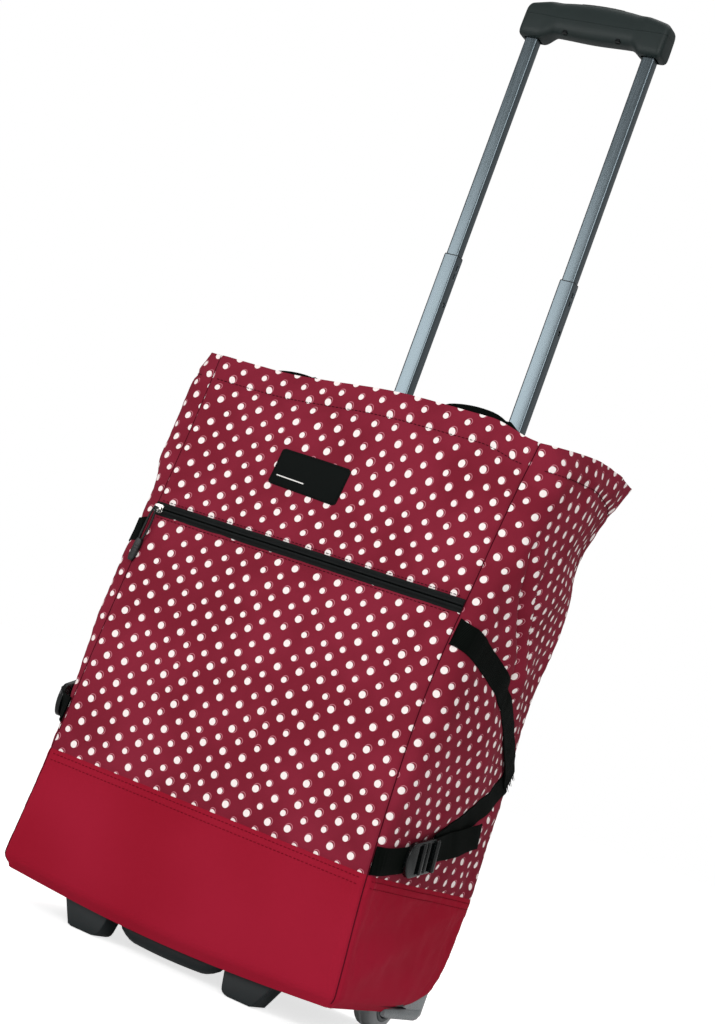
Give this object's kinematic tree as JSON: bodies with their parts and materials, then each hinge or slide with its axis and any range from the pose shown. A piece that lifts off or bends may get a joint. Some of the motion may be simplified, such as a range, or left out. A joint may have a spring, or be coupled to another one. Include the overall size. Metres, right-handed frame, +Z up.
{
  "type": "shopping trolley",
  "caption": "Soft fabric shopping bag on wheels and front feet, with a telescopic pull handle, zipped front pocket, side straps and inner carry handles.",
  "frame": {"origin": "on the floor, under the middle of the bounding box with the handle fully out", "axes": "+Z up, -Y towards the front with the zip pocket, +X towards the right wheel as seen from the front"},
  "size_m": [0.3984, 0.244, 1.0379],
  "materials": {
    "dotted_fabric": "woven polyester, burgundy with off-white dots",
    "band_fabric": "plain woven polyester, slight sheen",
    "lining_fabric": "thin black lining cloth",
    "webbing": "ribbed black webbing",
    "zip_nylon": "black nylon coil on black tape",
    "zip_rubber": "black cord and rubber",
    "zip_metal": "nickel plated",
    "label_cloth": "black woven label",
    "stiffener": "plain sheet",
    "buckle_plastic": "black moulded plastic",
    "tube_metal": "satin gunmetal",
    "inner_plastic": "black moulded plastic",
    "bright_steel": "zinc plated",
    "grip_plastic": "fine moulded grain",
    "button_plastic": "moulded plastic",
    "plate_plastic": "grey moulded plastic",
    "foot_plastic": "dark moulded plastic",
    "housing_plastic": "grey moulded plastic, slightly glossy",
    "tyre_rubber": "grey rolling tyre",
    "hub_plastic": "dark grey moulded plastic"
  },
  "bodies": {
    "chassis": {"front_panel": "dotted_fabric", "pocket_panel": "dotted_fabric", "back_panel": "dotted_fabric", "side_panel_left": "dotted_fabric", "side_panel_right": "dotted_fabric", "band_front": "band_fabric", "band_back": "band_fabric", "band_side_left": "band_fabric", "band_side_right": "band_fabric", "pocket_lining": "lining_fabric", "back_lining": "lining_fabric", "bag_floor": "lining_fabric", "strap_upper_left": "webbing", "strap_upper_right": "webbing", "strap_lower_left": "webbing", "strap_lower_right": "webbing", "strap_anchor_left": "webbing", "strap_anchor_right": "webbing", "zip_tape": "zip_nylon", "label_patch": "label_cloth", "base_board": "stiffener", "ladder_lock_left": "buckle_plastic", "ladder_lock_right": "buckle_plastic", "fixed_tube_left": "tube_metal", "fixed_tube_right": "tube_metal", "tube_collar": "inner_plastic", "axle_left": "bright_steel", "axle_right": "bright_steel", "base_plate": "plate_plastic", "foot_left": "foot_plastic", "foot_right": "foot_plastic", "bottom_grip": "foot_plastic", "wheel_housing_left": "housing_plastic", "wheel_housing_right": "housing_plastic"},
    "middle_stage": {"mid_tube_left": "tube_metal", "mid_tube_right": "tube_metal", "mid_bush_left": "inner_plastic", "mid_bush_right": "inner_plastic"},
    "handle": {"inner_tube_left": "tube_metal", "inner_tube_right": "tube_metal", "lock_block_left": "inner_plastic", "lock_block_right": "inner_plastic", "grip_body": "grip_plastic", "grip_cover": "grip_plastic", "grip_screw_left": "bright_steel", "grip_screw_right": "bright_steel"},
    "release": {"release_button": "button_plastic", "push_rods": "bright_steel"},
    "lock_pin_left": {"lock_pin_left": "bright_steel"},
    "lock_pin_right": {"lock_pin_right": "bright_steel"},
    "wheel_left": {"tyre_left": "tyre_rubber", "wheel_hub_left": "hub_plastic"},
    "wheel_right": {"tyre_right": "tyre_rubber", "wheel_hub_right": "hub_plastic"},
    "zip_slider": {"zip_slider": "zip_metal"},
    "zip_puller": {"zip_puller": "zip_rubber"},
    "carry_front": {"carry_handle_front": "webbing"},
    "carry_back": {"carry_handle_back": "webbing"}
  },
  "joints": [
    {"name": "lower_stage_slide", "type": "slide", "parent": "chassis", "child": "middle_stage", "axis": [0, 0, 1], "range_m": [-0.197, 0]},
    {"name": "upper_stage_slide", "type": "slide", "parent": "middle_stage", "child": "handle", "axis": [0, 0, 1], "range_m": [-0.242, 0]},
    {"name": "release_button_press", "type": "slide", "parent": "handle", "child": "release", "axis": [0, 0, 1], "range_m": [-0.004, 0], "stiffness_N_per_m": 1500, "springref_m": 0.002},
    {"name": "lock_pin_left_slide", "type": "slide", "parent": "handle", "child": "lock_pin_left", "axis": [-1, 0, 0], "range_m": [0, 0.002]},
    {"name": "lock_pin_right_slide", "type": "slide", "parent": "handle", "child": "lock_pin_right", "axis": [-1, 0, 0], "range_m": [0, 0.002]},
    {"name": "wheel_left_spin", "type": "hinge", "parent": "chassis", "child": "wheel_left", "pos_m": [-0.13, 0.0915, 0.03], "axis": [1, 0, 0], "continuous": true},
    {"name": "wheel_right_spin", "type": "hinge", "parent": "chassis", "child": "wheel_right", "pos_m": [0.13, 0.0915, 0.03], "axis": [1, 0, 0], "continuous": true},
    {"name": "zip_slide", "type": "slide", "parent": "chassis", "child": "zip_slider", "axis": [1, 0, 0], "range_m": [0, 0.316]},
    {"name": "zip_puller_swing", "type": "hinge", "parent": "zip_slider", "child": "zip_puller", "pos_m": [-0.158, -0.11665, 0.3895], "axis": [1, 0, 0], "range_deg": [-150, 0]},
    {"name": "carry_front_swing", "type": "hinge", "parent": "chassis", "child": "carry_front", "pos_m": [0, -0.082, 0.548], "axis": [1, 0, 0], "range_deg": [0, 180]},
    {"name": "carry_back_swing", "type": "hinge", "parent": "chassis", "child": "carry_back", "pos_m": [0, 0.06, 0.548], "axis": [1, 0, 0], "range_deg": [-180, 0]}
  ],
  "couplings": [
    {"joint": "lock_pin_left_slide", "follows": "release_button_press", "ratio": -0.5},
    {"joint": "lock_pin_right_slide", "follows": "release_button_press", "ratio": -0.5}
  ]
}
